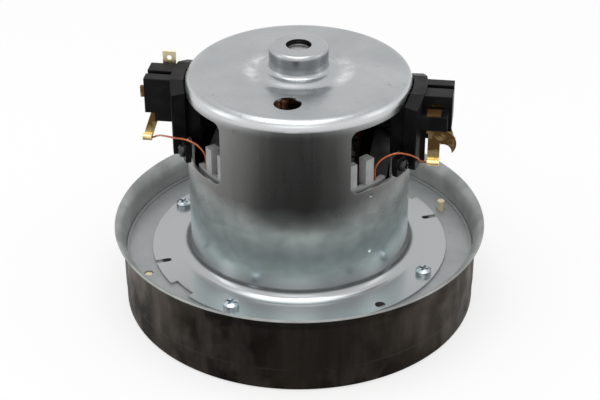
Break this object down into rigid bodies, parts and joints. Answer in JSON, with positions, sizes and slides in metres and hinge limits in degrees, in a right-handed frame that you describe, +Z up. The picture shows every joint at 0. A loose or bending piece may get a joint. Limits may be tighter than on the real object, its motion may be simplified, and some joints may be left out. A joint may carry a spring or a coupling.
{
  "type": "vacuum motor unit",
  "caption": "Vacuum cleaner suction motor: drawn steel motor housing with side brush holders on a wide flared fan drum with a bottom inlet.",
  "frame": {"origin": "on the motor axis, at the drum's bottom face", "axes": "+Z up the motor axis from the fan to the bearing boss, X along the brushes"},
  "size_m": [0.136, 0.136, 0.1008],
  "materials": {
    "plated_steel": "satin zinc plate",
    "drum_steel": "galvanised, stained",
    "black_plastic": "moulded",
    "brass": "stamped",
    "copper_wire": "enamelled",
    "bar_copper": "turned",
    "pale_plastic": "moulded",
    "nylon": "moulded",
    "lamination": "stacked sheet",
    "ground_steel": "ground",
    "screw_steel": "bright zinc",
    "alloy": "pressed sheet",
    "carbon": "pressed graphite",
    "phenolic": "moulded"
  },
  "bodies": {
    "motor_frame": {"motor_housing": "plated_steel", "fan_bracket": "plated_steel", "fan_cover": "drum_steel", "diffuser": "nylon", "flange_screws": "screw_steel", "holder_screws": "screw_steel", "stator_core": "lamination", "upper_insulator": "pale_plastic", "lower_insulator": "pale_plastic", "field_coil_front": "copper_wire", "field_coil_rear": "copper_wire", "lead_front_left": "copper_wire", "lead_front_right": "copper_wire", "lead_rear_left": "copper_wire", "lead_rear_right": "copper_wire", "brush_holder_left": "black_plastic", "brush_holder_right": "black_plastic", "brush_tube_left": "brass", "brush_tube_right": "brass", "brush_clip_left": "brass", "brush_clip_right": "brass", "terminal_left": "brass", "terminal_right": "brass", "brush_spring_left": "ground_steel", "brush_spring_right": "ground_steel", "preload_washer": "ground_steel", "upper_bearing_outer": "ground_steel", "lower_bearing_outer": "ground_steel", "bearing_shields": "ground_steel"},
    "rotor": {"shaft": "ground_steel", "armature_core": "lamination", "armature_winding": "copper_wire", "armature_end_discs": "phenolic", "commutator_bars": "bar_copper", "commutator_hub": "phenolic", "impeller_backplate": "alloy", "impeller_blades": "alloy", "impeller_shroud": "alloy", "fan_spacer": "ground_steel", "clamp_washer": "screw_steel", "fan_nut": "screw_steel", "upper_bearing_inner": "ground_steel", "lower_bearing_inner": "ground_steel"},
    "upper_cage": {"upper_bearing_balls": "ground_steel"},
    "lower_cage": {"lower_bearing_balls": "ground_steel"},
    "brush_left_slider": {"brush_left": "carbon"},
    "brush_right_slider": {"brush_right": "carbon"}
  },
  "joints": [
    {"name": "rotor_spin", "type": "hinge", "parent": "motor_frame", "child": "rotor", "pos_m": [0, 0, 0.06], "axis": [0, 0, 1], "continuous": true},
    {"name": "upper_cage_roll", "type": "hinge", "parent": "motor_frame", "child": "upper_cage", "pos_m": [0, 0, 0.0963], "axis": [0, 0, 1], "continuous": true},
    {"name": "lower_cage_roll", "type": "hinge", "parent": "motor_frame", "child": "lower_cage", "pos_m": [0, 0, 0.0241], "axis": [0, 0, 1], "continuous": true},
    {"name": "brush_left_slide", "type": "slide", "parent": "motor_frame", "child": "brush_left_slider", "axis": [-1, 0, 0], "range_m": [0, 0.007], "stiffness_N_per_m": 150, "springref_m": -0.022, "deforming": ["brush_spring_left"]},
    {"name": "brush_right_slide", "type": "slide", "parent": "motor_frame", "child": "brush_right_slider", "axis": [1, 0, 0], "range_m": [0, 0.007], "stiffness_N_per_m": 150, "springref_m": -0.022, "deforming": ["brush_spring_right"]}
  ],
  "couplings": [
    {"joint": "upper_cage_roll", "follows": "rotor_spin", "ratio": 0.36538},
    {"joint": "lower_cage_roll", "follows": "rotor_spin", "ratio": 0.36833}
  ]
}
